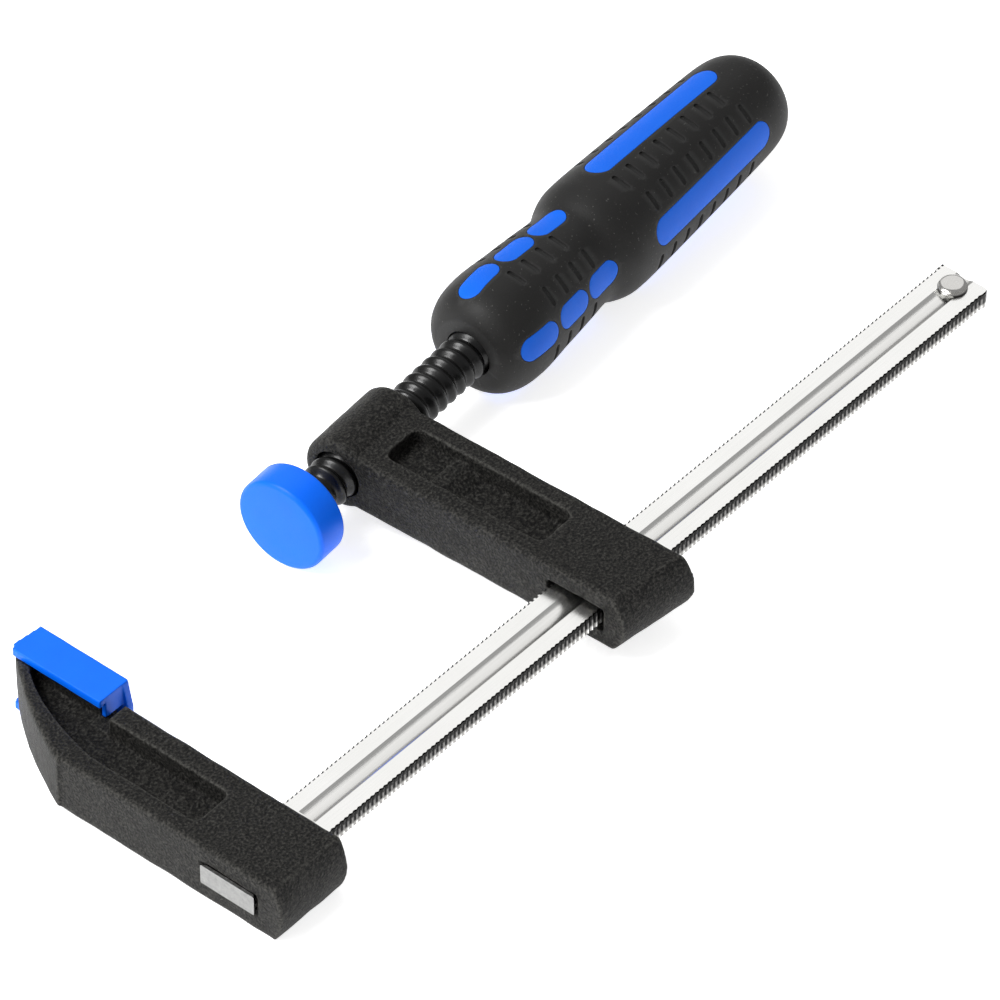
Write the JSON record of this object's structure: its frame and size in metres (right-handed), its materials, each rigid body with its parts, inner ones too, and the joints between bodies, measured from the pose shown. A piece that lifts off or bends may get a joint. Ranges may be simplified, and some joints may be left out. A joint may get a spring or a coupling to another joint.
{
  "type": "f clamp",
  "caption": "Small sliding-arm bar clamp with cast black jaws, a toothed bright bar, blue pressure caps and a swivel-pad screw turned by a two-colour handle",
  "frame": {"origin": "Centre of the fixed jaw's clamping face", "axes": "+X along the bar to its free end, +Y from the bar to the tips of the jaws, +Z square to the flat of the clamp"},
  "size_m": [0.2408, 0.0943, 0.027],
  "materials": {
    "jaw_iron": "matte textured",
    "bright_plating": "satin nickel",
    "black_steel": "glossy blackened",
    "blue_plastic": "satin",
    "grip_rubber": "matte"
  },
  "bodies": {
    "frame": {"bar": "bright_plating", "fixed_jaw": "jaw_iron", "jaw_cap": "blue_plastic", "stop_rivet": "bright_plating"},
    "sliding_arm": {"sliding_jaw": "jaw_iron"},
    "screw_tip": {"ball_tip": "black_steel"},
    "screw": {"spindle": "black_steel", "handle_core": "blue_plastic", "grip_sleeve": "grip_rubber"},
    "pad": {"pad_plate": "bright_plating", "pad_cap": "blue_plastic"}
  },
  "joints": [
    {"name": "arm_slide", "type": "slide", "parent": "frame", "child": "sliding_arm", "axis": [1, 0, 0], "range_m": [-0.03, 0.0935]},
    {"name": "screw_travel", "type": "slide", "parent": "sliding_arm", "child": "screw_tip", "axis": [-0.9973, -0.0732, 0], "range_m": [-0.0075, 0.0225]},
    {"name": "screw_turn", "type": "hinge", "parent": "screw_tip", "child": "screw", "pos_m": [0.0845, 0.0025, 0], "axis": [-0.9973, -0.0732, 0], "range_deg": [-905, 2705]},
    {"name": "pad_swivel", "type": "hinge", "parent": "screw_tip", "child": "pad", "pos_m": [0.06216, 0.00086, 0], "axis": [0, 0, 1], "range_deg": [-12, 12]}
  ],
  "couplings": [
    {"joint": "screw_turn", "follows": "screw_travel", "rad_per_m": 2094.4}
  ]
}
